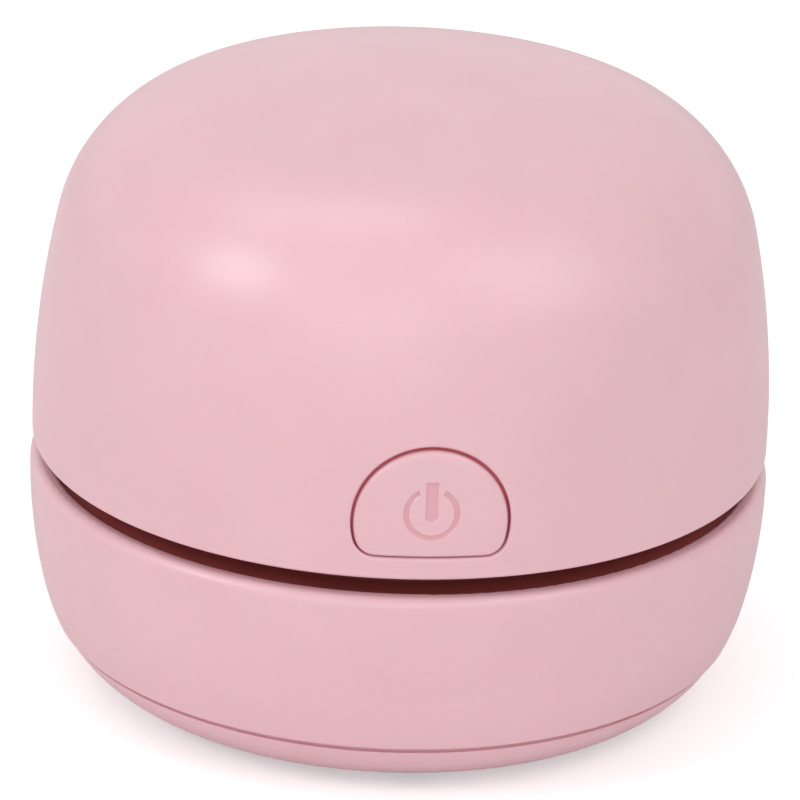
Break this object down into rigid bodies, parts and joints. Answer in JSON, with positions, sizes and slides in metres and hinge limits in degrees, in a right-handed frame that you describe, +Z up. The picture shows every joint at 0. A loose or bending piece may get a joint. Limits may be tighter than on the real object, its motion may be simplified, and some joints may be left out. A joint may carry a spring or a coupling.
{
  "type": "desktop mini vacuum cleaner",
  "caption": "Small round battery vacuum for desk tops: a domed motor head with a push button sits in a dust bin with a brush-lined suction mouth.",
  "frame": {"origin": "on the table under the middle of the object, at the underside of the feet", "axes": "+Z up; the push button looks along -Y and the charging socket along +Y"},
  "size_m": [0.0844, 0.0844, 0.0716],
  "materials": {
    "housing_abs": "satin moulded ABS",
    "inner_abs": "moulded ABS, dyed darker",
    "soft_rubber": "moulded rubber",
    "seal_rubber": "moulded silicone",
    "zinc_steel": "zinc plated",
    "nylon_bristle": "drawn nylon",
    "white_abs": "moulded ABS",
    "filter_cloth": "pleated non-woven sheet",
    "motor_steel": "drawn and plated",
    "black_nylon": "moulded nylon",
    "sintered_bronze": "sintered and oiled",
    "ferrite": "sintered",
    "lamination_steel": "stamped stack",
    "copper_wire": "enamelled",
    "copper": "turned",
    "ground_steel": "ground",
    "spring_steel": "drawn wire",
    "cell_sleeve": "shrink sleeve",
    "nickel": "rolled strip",
    "board_laminate": "solder mask",
    "chip_resin": "moulded resin",
    "lamp_resin": "clear resin",
    "wire_sleeve": "extruded sleeve"
  },
  "bodies": {
    "bin": {"bin_shell": "housing_abs", "bin_collar": "inner_abs", "base_plate": "housing_abs", "base_screws": "zinc_steel", "foot_pads": "soft_rubber", "inlet_duct": "inner_abs", "bristle_tufts": "nylon_bristle", "brush_bars": "black_nylon"},
    "head": {"upper_housing": "housing_abs", "fan_housing": "inner_abs", "fan_screws": "zinc_steel", "housing_screws": "zinc_steel", "bin_seal": "seal_rubber", "chassis": "inner_abs", "motor_can": "motor_steel", "motor_end_cap": "black_nylon", "motor_brushes": "copper", "motor_bushes": "sintered_bronze", "motor_magnets": "ferrite", "motor_screws": "zinc_steel", "power_switch": "chip_resin", "battery_cell": "cell_sleeve", "battery_tabs": "nickel", "battery_strap": "white_abs", "control_board": "board_laminate", "board_screws": "zinc_steel", "board_chips": "chip_resin", "charging_socket": "nickel", "status_lamp": "lamp_resin", "light_pipe": "lamp_resin", "battery_leads": "wire_sleeve", "switch_leads": "wire_sleeve", "motor_leads": "wire_sleeve"},
    "rotor": {"motor_shaft": "ground_steel", "armature_core": "lamination_steel", "armature_windings": "copper_wire", "commutator": "copper", "impeller": "white_abs"},
    "button": {"power_button": "housing_abs", "button_spring": "spring_steel", "switch_plunger": "white_abs"},
    "filter": {"filter_frame": "inner_abs", "filter_pleats": "filter_cloth"}
  },
  "joints": [
    {"name": "head_lift", "type": "slide", "parent": "bin", "child": "head", "axis": [0, 0, 1], "range_m": [0, 0.045]},
    {"name": "impeller_spin", "type": "hinge", "parent": "head", "child": "rotor", "pos_m": [0, 0, 0.0444], "axis": [0, 0, 1], "continuous": true},
    {"name": "power_button_press", "type": "slide", "parent": "head", "child": "button", "axis": [0, 1, 0], "range_m": [0, 0.0012], "stiffness_N_per_m": 600, "springref_m": -0.001, "deforming": ["button_spring"]},
    {"name": "filter_pull", "type": "slide", "parent": "head", "child": "filter", "axis": [0, 0, -1], "range_m": [0, 0.0135]}
  ],
  "couplings": [
    {"joint": "filter_pull", "follows": "head_lift", "ratio": 0.3}
  ]
}
